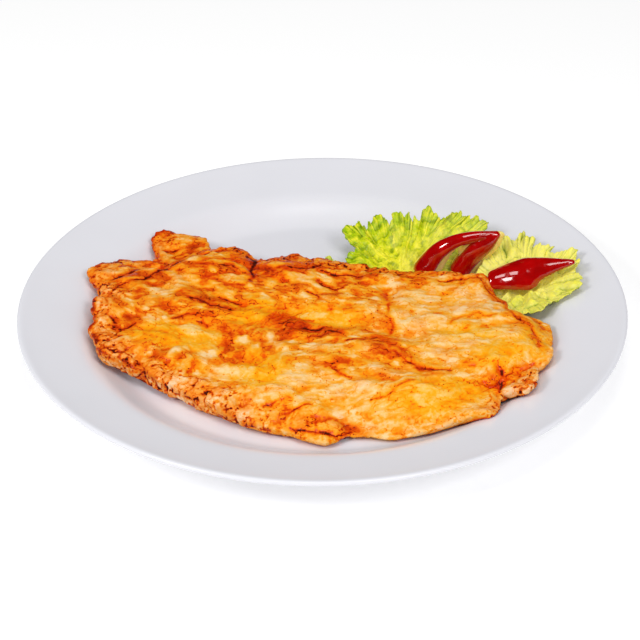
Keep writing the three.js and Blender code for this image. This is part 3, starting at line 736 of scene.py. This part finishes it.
def finish_crust(piece):
    """Raises the crust's fine relief, then stores how brown, rosy and oily it is, to match; painted shade in its
    hollows, clefts and under its edge goes into the browning.
    """
    crown, lot, rough = (take(piece, name) for name in ("crown", "lot", "rough"))
    points, normals = coordinates(piece), vertex_normals(piece)
    x, y = points[:, 0], points[:, 1]
    _, top = facing(piece)
    direction = grain_direction(points)
    coarse, medium, fine = (streaks(points, direction, *streak) for streak in STREAKS)
    flake, flake_tone = cells(shift(points, (3.2, 1.0, 58)), 3.6, 60, direction, 1.6)
    flake_tone = (flake_tone - 0.5) * smoothstep(flake, 0, 0.3)
    relief = 0.14 * smoothstep(flake, 0, 0.35) - 0.1 * coarse - 0.12 * medium - 0.1 * fine
    relief += 0.13 * bumps(points, 1.7, 81) + 0.1 * bumps(points, 3, 82)
    relief *= 0.5 + 0.5 * top
    move_vertices(piece, points + normals * relief[:, None])
    up = vertex_normals(piece)[:, 2]

    wide, near = shift(points, *WIDELY_RAGGED), shift(points, *RAGGED)
    area = np.full(len(points), 0.35)
    for *oval, tone, strength in AREAS:
        area += (tone - area) * strength * inside_oval(wide, *oval, 0.45)
    clear = np.zeros(len(points))
    for oval in AMBER:
        clear = np.maximum(clear, inside_oval(wide, *oval, 0.4))
    lively = smoothstep(area, 0.12, 0.42) * (1 - 0.6 * smoothstep(area, 0.56, 0.68))
    mottle = 0.13 * coarse + 0.12 * medium + 0.08 * fine + 0.2 * flake_tone + 0.08 * bumps(points, 5, 83)
    brown = area + 0.02 + mottle * (0.95 + lively) * (1 - 0.6 * clear)
    # Frying evens out: only creases and cracks get much darker than the area round them.
    brown -= 0.6 * np.maximum(brown - np.maximum(area, 0.56), 0)
    for *oval, tone in FLAKES:
        brown += (tone + 0.07 * medium + 0.05 * fine - brown) * 0.8 * inside_oval(near, *oval, 0.4)
    # A crease is a thin scorched line in a broad red-brown band.
    scorch = worn(points)
    for corners, width, tone, _ in LINES:
        distance = line_distance(near, corners) + 0.25 * fine
        band = 0.8 * np.exp(-(distance / (1.8 * width)) ** 2) * (0.7 + 0.3 * scorch)
        brown += np.maximum(min(tone, 0.68) - brown, 0) * np.clip(band, 0, 1)
        core = 1.3 * np.exp(-(distance / (0.45 * width)) ** 4) * (0.1 + 0.8 * scorch)
        brown += (min(tone + 0.08, 1) - brown) * np.clip(core, 0, 1)
    # The edge: lumps of pale coating, with the clefts between them darker, partly as scorched coating and partly as
    # painted shade.
    rough = np.clip(rough, 0, 1)
    back = smoothstep(y, 0, 30) * (1 - smoothstep(x, 35, 60))
    lump_tone = 0.2 + 0.5 * (lot - 0.45) + 0.26 * bumps(points, 7, 71) + 0.1 * bumps(points, 2.5, 74) + 0.25 * back
    brown += (lump_tone - brown) * 0.75 * smoothstep(rough, 0.1, 0.7)
    cleft = smoothstep(bumps(points, 8, 75), -0.5, 0.4)
    # Partly painted shade: the clefts between the lumps are darkened, more in some places than in others.
    brown += 0.95 * (1 - smoothstep(crown, 0.18, 0.55)) * rough * (0.3 + 0.7 * cleft)
    # Painted shade: vertices that lie in hollows are darkened, and those on crests lightened a little, the more so on
    # the rough edge.
    deep, sharp = hollows(piece, 24), hollows(piece, 4)
    brown += np.clip(deep / 1.3, -0.08, 0.3) * (0.15 + 0.35 * rough)
    brown += np.clip(sharp / 0.3, -0.05, 0.15) * 0.4
    # The edge's brink is scorched at the back and on the left, and painted contact shadow darkens the foot of the wall
    # all round.
    height = points[:, 2] - underside(points)
    brink = np.exp(-((up - 0.35) / 0.25) ** 2) * smoothstep(height, 2, 4)
    brink = np.maximum(brink, (1 - smoothstep(edge_distance(points), 1.2, 3.6)) * top)
    scorched = np.maximum(smoothstep(y, 0, 25), 1 - smoothstep(x, -85, -65))
    scorched = scorched * smoothstep(bumps(points, 6, 76), -0.5, 0.3) * (1 - smoothstep(x, 88, 96))
    brown += np.maximum(0.88 - brown, 0) * 0.95 * brink * scorched
    # Painted contact shadow: the foot of the wall, where it faces down within about 2 mm of the underside, is
    # darkened.
    brown += 0.5 * (1 - smoothstep(height, 0.5, 1.9)) * (1 - smoothstep(up, -0.2, 0.3))
    pinch = smoothstep(bumps(points, 9, 72) + 0.35 * medium, -0.1, 0.6)
    rosy = 0.3 + 0.55 * rough * (0.7 + 0.6 * lot) + 0.2 * smoothstep(-x, 40, 95) + 0.35 * pinch
    # Fat lies on browned crust, and what is scorched is dry.
    oily = (smoothstep(brown, 0.42, 0.68) + 0.25 * bumps(points, 8, 73)) * (1 - smoothstep(brown, 0.78, 0.92))
    store(piece, browning=np.clip(brown, 0, 1), rosy=np.clip(rosy * (1 - clear * (1 - rough)), 0, 1),
          oily=np.clip(oily, 0, 1), streak=medium + 0.45 * fine, patch=coarse + 0.5 * medium + 0.5 * flake_tone)


def contour(add, field, wander, level, mask):
    """A thin line where a field, jittered by a noise, passes a level, kept where the mask allows."""
    value = add("Math", {0: wander, 1: 1.1, 2: field}, operation="MULTIPLY_ADD")[0]
    value = add("Math", {0: value, 1: level}, operation="SUBTRACT")[0]
    value = add("Math", {0: value}, operation="ABSOLUTE")[0]
    value = add("MapRange", {"Value": value, 1: 0.01, 2: 0.11, 3: 1.0, 4: 0.0})[0]
    return add("Math", {0: value, 1: mask}, operation="MULTIPLY")[0]


def crust_material():
    """Egg and flour fried in butter: browned in patches, soft and slightly clear where pale, wet with fat."""
    material, add, shader = new_material("Fried egg and flour crust")
    place = add("TexCoord")["Object"]
    browning, rosy, oily, streak, patch = (
        add("Attribute", attribute_name=name)["Fac"] for name in ("browning", "rosy", "oily", "streak", "patch"))
    # Flour grains about 1 mm across vary the tone. The cracks waver over 2 mm, and come in places some 6 mm across.
    grains, wavy, where = (add("TexNoise", {"Vector": place, "Scale": PER_MM / size, "Detail": detail})["Fac"]
                           for size, detail in ((1.1, 3.0), (2, 2.0), (6, 2.0)))
    vary = add("MapRange", {"Value": grains, 1: 0.3, 2: 0.7, 3: -0.06, 4: 0.06})[0]
    tone = add("Math", {0: browning, 1: vary}, operation="ADD")[0]
    # Hairline cracks about 0.3 mm wide run along the grain.
    there = add("MapRange", {"Value": where, 1: 0.44, 2: 0.57})[0]
    crack = contour(add, streak, wavy, 0.6, there)
    # Others edge the patches of coating, on the side where it has lifted.
    elsewhere = add("MapRange", {"Value": where, 1: 0.49, 2: 0.38, 4: 0.85})[0]
    seam = contour(add, patch, wavy, 0.75, elsewhere)
    crack = add("Math", {0: crack, 1: seam}, operation="MAXIMUM")[0]
    # Scorched specks about 0.5 mm across gather beside the cracks, one in every 2 mm or so.
    spots = add("TexVoronoi", {"Vector": place, "Scale": PER_MM / 1.9})
    speck = add("MapRange", {"Value": spots["Distance"], 1: 0.1, 2: 0.2, 3: 1.0, 4: 0.0})[0]
    lot = add("SeparateColor", {0: spots["Color"]})[0]
    rank = add("MapRange", {"Value": where, 1: 0.4, 2: 0.65, 3: 0.9, 4: 0.28})[0]
    some = add("Math", {0: lot, 1: rank}, operation="GREATER_THAN")[0]
    speck = add("Math", {0: speck, 1: some}, operation="MULTIPLY")[0]
    # On dark crust the cracks go nearly black, on pale crust they stay amber.
    depth = add("MapRange", {"Value": browning, 1: 0.15, 2: 0.55, 3: 0.3, 4: 0.36})[0]
    dark = add("Math", {0: crack, 1: depth, 2: tone}, operation="MULTIPLY_ADD")[0]
    dark = add("Math", {0: speck, 1: 0.5, 2: dark}, operation="MULTIPLY_ADD")[0]
    golden, pinkish = (add("ValToRGB", {0: dark}, stops=list(zip(BROWNING_STEPS, colours)))[0]
                       for colours in (GOLDEN, PINKISH))
    # The fat drains out of the darkest cracks, so they don't shine.
    coat = add("MapRange", {"Value": oily, 3: 0.0, 4: 0.22})[0]
    dry = add("MapRange", {"Value": dark, 1: 0.7, 2: 0.9, 3: 1.0, 4: 0.1})[0]
    plug(shader, {
        "Base Color": add("Mix", {0: rosy, 6: golden, 7: pinkish}, data_type="RGBA")[2],
        "Roughness": add("MapRange", {"Value": oily, 3: 0.5, 4: 0.28})[0],
        "Coat Weight": add("Math", {0: coat, 1: dry}, operation="MULTIPLY")[0],
        "Normal": add("Bump", {"Height": grains, "Strength": 0.3, "Distance": 0.25 * MM})[0],
        "Coat Roughness": 0.14, "IOR": 1.45, "Specular IOR Level": 0.12, "Specular Tint": (1.0, 0.75, 0.45, 1.0),
        "Subsurface Weight": 0.1, "Subsurface Radius": (1.0, 0.45, 0.15), "Subsurface Scale": 1.5 * MM,
    })
    return material


class SCHNITZEL_OT_cutlet(bpy.types.Operator):
    """Turns the plain solid into a fried cutlet with its crust"""

    bl_idname = "schnitzel.cutlet"
    bl_label = "Schnitzel"

    def execute(self, context):
        settings = context.scene.schnitzel_crust
        piece = copy_of_node("schnitzel", "fried_schnitzel")
        apply_modifier(piece, "REMESH", mode="VOXEL", voxel_size=settings.first_voxel)
        apply_modifier(piece, "SMOOTH", factor=0.5, iterations=6)
        shape_crust(piece, settings)
        piece.data.remesh_voxel_size = settings.voxel
        piece.data.use_remesh_preserve_attributes = True
        bpy.ops.object.voxel_remesh()
        apply_modifier(piece, "SMOOTH", factor=0.5, iterations=1)
        finish_crust(piece)
        under = piece.vertex_groups.new(name="under")
        hidden = np.flatnonzero(vertex_normals(piece)[:, 2] < -0.5)
        under.add(hidden.tolist(), 1.0, "REPLACE")
        apply_modifier(piece, "DECIMATE", ratio=KEPT_FACES, vertex_group="under", vertex_group_factor=10)
        piece.vertex_groups.clear()
        settle(piece, crust_material(), "schnitzel")
        return {"FINISHED"}


# ---- Lettuce ----


class LettuceSettings(bpy.types.PropertyGroup):
    """Sizes and colours of the lettuce."""

    columns: bpy.props.IntProperty(name="Columns", description="Mesh faces along each edge", default=420, min=40)
    rows: bpy.props.IntProperty(name="Rows", description="Mesh faces from base to edge", default=70, min=12)
    thickness: bpy.props.FloatProperty(
        name="Thickness", description="Of the leaf", unit="LENGTH", default=0.45 * MM, min=0.2 * MM)
    blade: bpy.props.FloatVectorProperty(
        name="Blade", description="Colour of the leaf's blade", subtype="COLOR", size=4, default=linear("#CFD806"))
    tips: bpy.props.FloatVectorProperty(
        name="Tips", description="Colour of its frilled edge", subtype="COLOR", size=4, default=linear("#9CBE04"))
    ribs: bpy.props.FloatVectorProperty(
        # The ribs colour also serves as the painted highlight on the leaf's crests.
        name="Ribs", description="Colour of its ribs and base", subtype="COLOR", size=4, default=linear("#FFF23E"))
    heart: bpy.props.FloatVectorProperty(
        name="Heart", description="Colour of its blanched inner parts", subtype="COLOR", size=4,
        default=linear("#FBF07E"))
    # The folds colour serves both for greener patches and as the painted shade in the leaf's folds.
    folds: bpy.props.FloatVectorProperty(
        name="Folds", description="Colour deep in its folds", subtype="COLOR", size=4, default=linear("#6E8A02"))


def leaf_shape(u, v, leaf):
    """Points in mm of a ragged leaf. u runs from 0 to 1 along its edge and v from its base out to it."""
    seed = leaf["seed"]
    edge, base = np.array(leaf["edge"], dtype=float), np.array(leaf["base"], dtype=float)
    along = np.concatenate([[0], np.cumsum(np.linalg.norm(np.diff(edge, axis=0), axis=1))])
    distance = u * along[-1]
    soft = np.stack([np.convolve(np.pad(column, 2, "edge"), np.full(5, 0.2), "valid") for column in edge.T], axis=1)
    rim, gentle = (np.stack([np.interp(distance, along, line[:, axis]) for axis in range(3)], axis=1)
                   for line in (edge, soft))
    # Between the tips and notches of the table the edge has small teeth of its own, and inwards it evens out.
    line = np.stack([distance, np.full(len(u), seed * 10.0), np.zeros(len(u))], axis=1)
    rim[:, :2] += (rim - base)[:, :2] * (0.03 * bumps(line, 2.2, seed))[:, None]
    spread = gentle - base
    points = base + spread * np.stack([v, v, v ** 1.25], axis=1) + (rim - gentle) * (v ** 4)[:, None]
    for axis in (0, 1):
        points[:, axis] += 5 * v * (1 - v) * bumps(points * (1, 1, 0), 9, seed + 1 + axis)
    field = np.stack([points[:, 0], points[:, 1], np.full(len(u), seed * 5.0)], axis=1)
    # Folds fan out from the base, and the blade is puckered between its veins.
    bearing = np.arctan2(spread[:, 1], spread[:, 0])
    fold = np.sin(9 * bearing + 3 * bumps(field, 12, seed + 3)) + 0.3 * np.sin(21 * bearing + seed)
    pucker = 1.6 * bumps(field, 10, seed + 8) + 1
    for size, height in PUCKERS:
        pucker += height * np.abs(bumps(field, size, seed + 9 + round(size)))
    calm = 1 - 0.55 * smoothstep(v, 0.75, 1.0)
    points[:, 2] += (1.1 * fold * smoothstep(v, 0.05, 0.6) + pucker * smoothstep(v, 0.05, 0.4) - 2 * v) * calm
    frill = 0
    for length, share, size, step in RUFFLES:
        frill += share * np.sin(distance * 2 * math.pi / length + 3 * bumps(line, size, seed + step))
    points[:, 2] += 0.5 * frill * v ** 5
    # The leaf is laid on the plate and never sinks into it.
    points[:, 2] = np.maximum(points[:, 2], plate_below(points) + LEAF_REST + 0.3 * v)
    return points


def lettuce_material(settings):
    """Crisp loose-leaf lettuce: thin, wet and clear to the light, paler along its ribs and greener at the frill."""
    material, add, shader = new_material("Loose-leaf lettuce")
    coordinate = add("TexCoord")
    place, across = coordinate["Object"], add("SeparateXYZ", {0: coordinate["UV"]})
    # Ribs waver over 6 mm, the green is uneven over 8 mm and clearer or greener in patches of 3.5 mm, and the blade
    # is blistered every 1.6 mm.
    wander, mottle, clear, blister = (
        add("TexNoise", {"Vector": place, "Scale": PER_MM / size, "Detail": detail})["Fac"]
        for size, detail in ((6, 2.0), (8, 3.0), (3.5, 3.0), (1.6, 2.0)))
    # Main ribs fan out about every 7 mm at mid leaf and fade towards the frill.
    wave = add("Math", {0: wander, 1: 0.03, 2: across["X"]}, operation="MULTIPLY_ADD")[0]
    wave = add("Math", {0: wave, 1: 10.0}, operation="MULTIPLY")[0]
    wave = add("Math", {0: wave, 1: 0.5}, operation="PINGPONG")[0]
    thin = add("MapRange", {"Value": across["Y"], 1: 0.0, 2: 0.8, 3: 0.3, 4: 0.02})[0]
    rib = add("MapRange", {"Value": wave, 1: 0.0, 2: thin, 3: 1.0, 4: 0.0})[0]
    base = add("MapRange", {"Value": across["Y"], 1: 0.1, 2: 0.6, 3: 0.75, 4: 0.0})[0]
    pale = add("Math", {0: rib, 1: base}, operation="MAXIMUM")[0]
    frill = add("MapRange", {"Value": across["Y"], 1: 0.35, 2: 1.0})[0]
    edge = add("Math", {0: frill, 1: mottle}, operation="MULTIPLY")[0]
    edge = add("MapRange", {"Value": edge, 1: 0.15, 2: 0.55})[0]
    greener = add("MapRange", {"Value": clear, 1: 0.5, 2: 0.66, 4: 0.7})[0]
    clearer = add("MapRange", {"Value": clear, 1: 0.46, 2: 0.32, 4: 0.6})[0]
    heart = add("Math", {0: add("Attribute", attribute_name="heart")["Fac"], 1: mottle}, operation="ADD")[0]
    heart = add("MapRange", {"Value": heart, 1: 0.6, 2: 1.5, 4: 0.85})[0]
    # Painted highlight makes the crests paler, and painted shade makes the folds a deeper green, as where light passes
    # through two layers.
    hollow = add("Attribute", attribute_name="hollow")["Fac"]
    crest_highlight = add("MapRange", {"Value": hollow, 1: -0.05, 2: -0.5, 3: 0.0, 4: 0.6})[0]
    shade = add("MapRange", {"Value": hollow, 1: 0.0, 2: 0.6, 3: 0.0, 4: 0.95})[0]
    # The last two mixes are the painted highlight on crests and the painted shade in folds.
    colour = list(settings.blade)
    for share, tint in ((edge, settings.tips), (pale, settings.ribs), (greener, settings.folds),
                        (clearer, settings.ribs), (heart, settings.heart), (crest_highlight, settings.ribs),
                        (shade, settings.folds)):
        colour = add("Mix", {0: share, 6: colour, 7: list(tint)}, data_type="RGBA")[2]
    plug(shader, {
        "Base Color": colour,
        "Normal": add("Bump", {"Height": blister, "Strength": 0.5, "Distance": 0.5 * MM})[0],
        "Roughness": 0.3, "Specular IOR Level": 0.22,
        "Subsurface Weight": 0.35, "Subsurface Radius": (0.9, 1.0, 0.1), "Subsurface Scale": 1.5 * MM,
    })
    return material


class SCHNITZEL_OT_lettuce(bpy.types.Operator):
    """Bends a grid into each frilled lettuce leaf"""

    bl_idname = "schnitzel.lettuce"
    bl_label = "Lettuce"

    def execute(self, context):
        settings = context.scene.schnitzel_lettuce
        material = lettuce_material(settings)
        for name, leaf in LEAVES.items():
            select_only()
            bpy.ops.mesh.primitive_grid_add(x_subdivisions=settings.columns, y_subdivisions=settings.rows, size=1)
            piece = context.object
            piece.name = name
            u, v, _ = (coordinates(piece) * MM + 0.5).T
            move_vertices(piece, leaf_shape(u, v, leaf))
            # How deep each vertex lies in a fold, which the material turns into painted shade and painted highlight.
            store(piece, hollow=hollows(piece, 12), heart=np.interp(u, (0, 1), leaf["pale"]))
            apply_modifier(piece, "SOLIDIFY", thickness=settings.thickness, offset=0)
            settle(piece, material, leaf["replaces"])
        return {"FINISHED"}


# ---- Peppers ----


class PepperSettings(bpy.types.PropertyGroup):
    """Sizes and colours of the pepper pieces."""

    voxel: bpy.props.FloatProperty(
        name="Voxel", description="Size of the mesh of each piece", unit="LENGTH", default=0.4 * MM, min=0.2 * MM)
    skin_thickness: bpy.props.FloatProperty(
        name="Skin thickness", description="Of the red skin over the flesh", unit="LENGTH", default=0.5 * MM)
    skin: bpy.props.FloatVectorProperty(
        name="Skin", description="Colour of the skin", subtype="COLOR", size=4, default=linear("#B00202"))
    flesh: bpy.props.FloatVectorProperty(
        name="Flesh", description="Colour of the cut flesh", subtype="COLOR", size=4, default=linear("#FFDC7C"))


def of_nearest(points, strips):
    """The way the skin faces at each point, and how far the wall shows at its left and right: of the nearest strip."""
    centres, ways, walls = (np.array(column, dtype=float) for column in zip(*strips))
    ways /= np.linalg.norm(ways, axis=1)[:, None]
    nearest = np.argmin(np.abs(points[:, None, 0] - centres[None, :, 0]), axis=1)
    return ways[nearest], walls[nearest]


def peeled(flesh, name, ways, cut):
    """A copy of the side of the flesh that faces the skin's way, as an open sheet."""
    select_only(flesh)
    bpy.ops.object.duplicate()
    skin = bpy.context.object
    skin.name = name
    buried = (vertex_normals(skin) * ways).sum(axis=1) < cut
    for polygon in skin.data.polygons:
        polygon.select = all(buried[index] for index in polygon.vertices)
    bpy.ops.object.mode_set(mode="EDIT")
    bpy.ops.mesh.select_mode(type="FACE")
    bpy.ops.mesh.delete(type="FACE")
    bpy.ops.object.mode_set(mode="OBJECT")
    return skin


def pepper_skin_material(settings):
    """Sweet pepper skin: a smooth, waxy, deep red film with a sharp wet shine and very shallow dents."""
    material, add, shader = new_material("Red pepper skin")
    place = add("TexCoord")["Object"]
    # Dents of the fruit wall about 6 mm across, and a finer unevenness of about 1.5 mm.
    dents, colour = mottled(add, place, settings.skin, 6, 0.75, 1.1)
    fine = add("TexNoise", {"Vector": place, "Scale": PER_MM / 1.5, "Detail": 2.0})["Fac"]
    bump = add("Bump", {"Height": dents, "Strength": 0.8, "Distance": 0.9 * MM})[0]
    plug(shader, {
        "Base Color": colour,
        "Normal": add("Bump", {"Height": fine, "Strength": 0.4, "Distance": 0.2 * MM, "Normal": bump})[0],
        "Roughness": 0.16, "Specular IOR Level": 0.12, "Coat Weight": 1.0, "Coat Roughness": 0.05, "Coat IOR": 1.8,
    })
    return material


def pepper_flesh_material(settings):
    """Cut pepper flesh: wet, slightly clear, yellow-orange with fine juicy cells of about 1.2 mm."""
    material, add, shader = new_material("Red pepper flesh")
    juicy, colour = mottled(add, add("TexCoord")["Object"], settings.flesh, 1.2, 0.85, 1.08)
    plug(shader, {
        "Base Color": colour,
        "Normal": add("Bump", {"Height": juicy, "Strength": 0.3, "Distance": 0.2 * MM})[0],
        "Roughness": 0.3,
        "Subsurface Weight": 0.6, "Subsurface Radius": (1.0, 0.7, 0.3), "Subsurface Scale": 2.5 * MM,
    })
    return material


class SCHNITZEL_OT_peppers(bpy.types.Operator):
    """Rounds each pepper strip and lays its skin over the flesh"""

    bl_idname = "schnitzel.peppers"
    bl_label = "Peppers"

    def execute(self, context):
        settings = context.scene.schnitzel_peppers
        skin_finish, flesh_finish = pepper_skin_material(settings), pepper_flesh_material(settings)
        for node, pepper in PEPPERS.items():
            flesh = copy_of_node(node, node + "_flesh")
            apply_modifier(flesh, "SUBSURF", levels=2, render_levels=2)
            apply_modifier(flesh, "REMESH", mode="VOXEL", voxel_size=settings.voxel)
            apply_modifier(flesh, "SMOOTH", factor=0.5, iterations=10)
            points = coordinates(flesh)
            hidden = 1 - smoothstep(points @ np.array(pepper["axis"]), pepper["to"], pepper["from"])
            points += SHRUNK * vertex_normals(flesh) + hidden[:, None] * np.array(pepper["draw_out"])
            points[:, 2] = np.maximum(points[:, 2], PLATE["floor"] + 0.5)
            move_vertices(flesh, points)
            ways, walls = of_nearest(points, pepper["strips"])
            skin = peeled(flesh, node + "_skin", ways, pepper["cut"])
            side = vertex_normals(flesh)[:, 0]
            apply_modifier(skin, "SMOOTH", factor=0.5, iterations=6)
            apply_modifier(skin, "SOLIDIFY", thickness=settings.skin_thickness, offset=0.2)
            # The cut wall is thickest at the hidden end and thins towards the tip.
            low, high, share = WALL_THINS
            thick = 1 - share * smoothstep(points[:, 2], low, high)
            points[:, 0] += thick * (walls[:, 1] * np.maximum(side, 0) - walls[:, 0] * np.maximum(-side, 0))
            points[:, 1] += 1.5 * thick
            move_vertices(flesh, points)
            settle(flesh, flesh_finish, node)
            settle(skin, skin_finish, node)
        return {"FINISHED"}


# ---- Stage ----


class StageSettings(bpy.types.PropertyGroup):
    """Camera, light and floor."""

    elevation: bpy.props.FloatProperty(
        name="Elevation", description="Angle that the camera looks down at", subtype="ANGLE",
        default=math.radians(31.95))
    distance: bpy.props.FloatProperty(
        name="Distance", description="From the camera to the plate's rim plane", unit="LENGTH", default=1.0)
    roll: bpy.props.FloatProperty(
        name="Roll", description="Turn of the camera about its axis", subtype="ANGLE", default=math.radians(-0.483))
    lens: bpy.props.FloatProperty(
        name="Lens", description="Focal length in mm on a 36 mm sensor", default=126.8)
    fill: bpy.props.FloatProperty(
        name="Fill", description="Strength of the white light from all round", default=0.46)


class SCHNITZEL_OT_stage(bpy.types.Operator):
    """Sets the camera, the soft lights and a pale floor"""

    bl_idname = "schnitzel.stage"
    bl_label = "Stage"

    def execute(self, context):
        settings = context.scene.schnitzel_stage
        target = Vector((0, 0, float(plate_top(PLATE["radius"])) * MM))
        back = Vector((0, -math.cos(settings.elevation), math.sin(settings.elevation)))
        turn = Matrix.Rotation(math.pi / 2 - settings.elevation, 4, "X") @ Matrix.Rotation(settings.roll, 4, "Z")
        bpy.ops.object.camera_add(location=target + back * settings.distance, rotation=turn.to_euler())
        camera = context.object
        camera.data.lens = settings.lens
        camera.data.sensor_width = 36
        camera.data.shift_x, camera.data.shift_y = (offset / FRAME_WIDTH for offset in FRAME_OFFSET)
        camera.data.clip_start = 0.05
        context.scene.camera = camera
        for name, (place, power, size) in SOFTBOXES.items():
            aim = (Vector(LIT) - Vector(place)).to_track_quat("-Z", "Y").to_euler()
            bpy.ops.object.light_add(type="AREA", location=place, rotation=aim)
            light = context.object
            light.name = name
            light.data.energy = power
            light.data.size = size
        world = bpy.data.worlds.new("Studio")
        context.scene.world = world
        world.use_nodes = True
        plug(world.node_tree.nodes["Background"], {"Color": linear("#FFFFFF"), "Strength": settings.fill})
        # The world is hidden from glossy rays, as black flags would be, so the food's shine shows the softboxes alone.
        world.cycles_visibility.glossy = False
        select_only()
        bpy.ops.mesh.primitive_plane_add(size=8)
        floor = context.object
        floor.name = "floor"
        material, _, shader = new_material("Pale floor")
        plug(shader, {"Base Color": linear("#E6E6E6"), "Roughness": 0.9,
                      "Emission Color": linear("#FFFFFF"), "Emission Strength": 0.32})
        floor.data.materials.append(material)
        context.scene.view_settings.view_transform = "Standard"
        return {"FINISHED"}


class SCHNITZEL_PT_panel(bpy.types.Panel):
    """Lists the pieces in the order they are made"""

    bl_idname = "SCHNITZEL_PT_panel"
    bl_label = "Plated schnitzel"
    bl_space_type = "VIEW_3D"
    bl_region_type = "UI"
    bl_category = "Schnitzel"

    def draw(self, context):
        for operator in OPERATORS:
            self.layout.operator(operator.bl_idname)


OPERATORS = (
    SCHNITZEL_OT_stage, SCHNITZEL_OT_plate, SCHNITZEL_OT_cutlet, SCHNITZEL_OT_lettuce, SCHNITZEL_OT_peppers,
)
SETTINGS = {
    "schnitzel_stage": StageSettings,
    "schnitzel_plate": PlateSettings,
    "schnitzel_crust": CrustSettings,
    "schnitzel_lettuce": LettuceSettings,
    "schnitzel_peppers": PepperSettings,
}


def register():
    """Registers the settings, operators and panel."""
    for name, group in SETTINGS.items():
        bpy.utils.register_class(group)
        setattr(bpy.types.Scene, name, bpy.props.PointerProperty(type=group))
    for cls in (*OPERATORS, SCHNITZEL_PT_panel):
        bpy.utils.register_class(cls)


def unregister():
    """Takes everything out again, in the other order."""
    for cls in (SCHNITZEL_PT_panel, *reversed(OPERATORS)):
        bpy.utils.unregister_class(cls)
    for name, group in reversed(SETTINGS.items()):
        delattr(bpy.types.Scene, name)
        bpy.utils.unregister_class(group)


def main():
    """Makes every piece."""
    register()
    bpy.ops.schnitzel.stage()
    bpy.ops.schnitzel.plate()
    bpy.ops.schnitzel.cutlet()
    bpy.ops.schnitzel.lettuce()
    bpy.ops.schnitzel.peppers()


if __name__ == "__main__":
    main()
